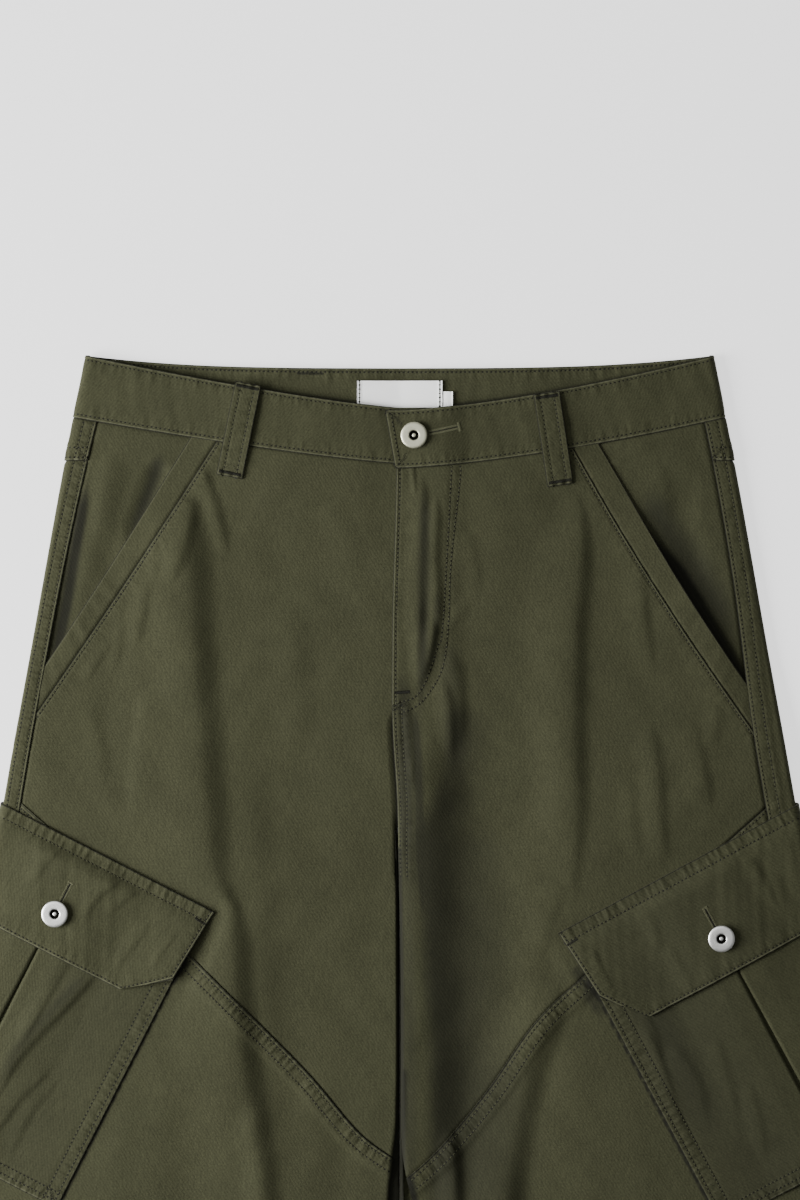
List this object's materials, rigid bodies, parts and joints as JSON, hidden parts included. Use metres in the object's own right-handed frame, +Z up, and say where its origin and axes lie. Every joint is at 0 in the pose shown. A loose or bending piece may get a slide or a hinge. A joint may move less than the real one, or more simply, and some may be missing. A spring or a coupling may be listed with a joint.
{
  "type": "cargo trousers",
  "caption": "Wide-leg cargo trousers in cotton twill lying flat, with slanted hand pockets, belt loops and pleated side pockets under buttoned flaps.",
  "frame": {"origin": "centre of the bounding box's base, on the surface that the trousers lie on, halfway from the waist's top corners to the hems", "axes": "+Y from the hems to the waist, +Z up out of the front, +X towards the wearer's left leg"},
  "size_m": [0.588, 1.04, 0.0202],
  "materials": {
    "twill": "olive cotton twill, matt, softly washed",
    "label": "white woven label, bare",
    "metal": "nickel-plated brass, satin",
    "thread": "olive polyester sewing thread"
  },
  "bodies": {
    "root": {"waistband": "twill", "yoke_left": "twill", "yoke_right": "twill", "back_left": "twill", "back_right": "twill", "front_upper_left": "twill", "front_upper_right": "twill", "front_lower_left": "twill", "front_lower_right": "twill", "hip_facing_left": "twill", "hip_facing_right": "twill", "hand_pocket_band_left": "twill", "hand_pocket_band_right": "twill", "cargo_pocket_left": "twill", "cargo_pocket_right": "twill", "cargo_flap_left": "twill", "cargo_flap_right": "twill", "flap_button_left": "metal", "flap_button_right": "metal", "waist_button": "metal", "belt_loop_front_left": "twill", "belt_loop_front_right": "twill", "belt_loop_back_left": "twill", "belt_loop_back_right": "twill", "label": "label", "size_tab": "label"}
  },
  "joints": []
}
